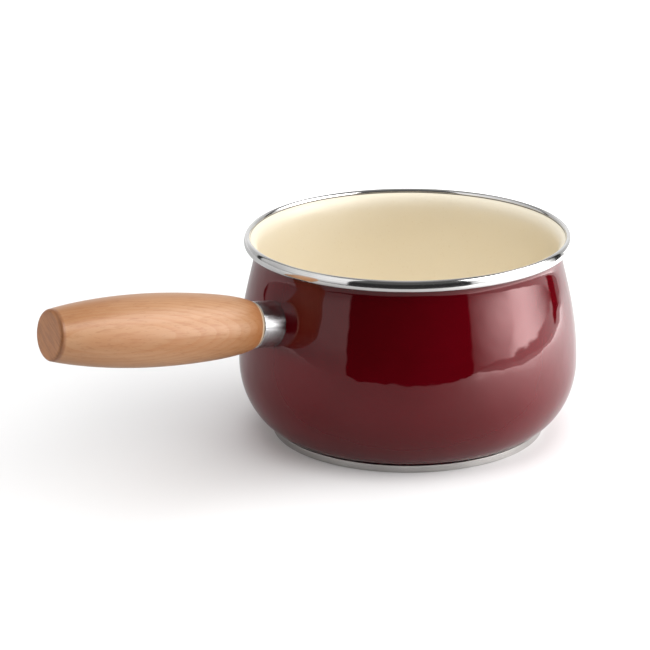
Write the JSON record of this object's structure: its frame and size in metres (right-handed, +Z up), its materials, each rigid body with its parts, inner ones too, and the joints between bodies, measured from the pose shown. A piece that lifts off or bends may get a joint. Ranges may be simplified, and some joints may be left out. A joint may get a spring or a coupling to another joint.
{
  "type": "milk pan",
  "caption": "Small bellied enamelled milk pan with a polished rim band, a capped flat base and a straight turned wooden handle behind a steel ferrule.",
  "frame": {"origin": "centre of the flat underside of the base, on the bowl's axis", "axes": "+Z up along the bowl's axis; the handle points along -X and lies in the XZ plane"},
  "size_m": [0.2596, 0.1522, 0.0909],
  "materials": {
    "red_enamel": "gloss",
    "cream_enamel": "gloss",
    "polished_steel": "polished",
    "brushed_steel": "brushed",
    "pressed_steel": "plain",
    "aluminium": "satin",
    "zinc_steel": "zinc plated",
    "brass": "plain",
    "beech": "satin lacquer"
  },
  "bodies": {
    "root": {"steel_bowl": "pressed_steel", "outer_enamel": "red_enamel", "inner_enamel": "cream_enamel", "rim_band": "polished_steel", "base_cap": "brushed_steel", "heat_spreader": "aluminium", "ferrule": "brushed_steel", "handle_bracket": "pressed_steel", "handle_bolt": "zinc_steel", "lock_washer": "zinc_steel", "hex_nut": "zinc_steel", "threaded_insert": "brass", "wooden_grip": "beech"}
  },
  "joints": []
}
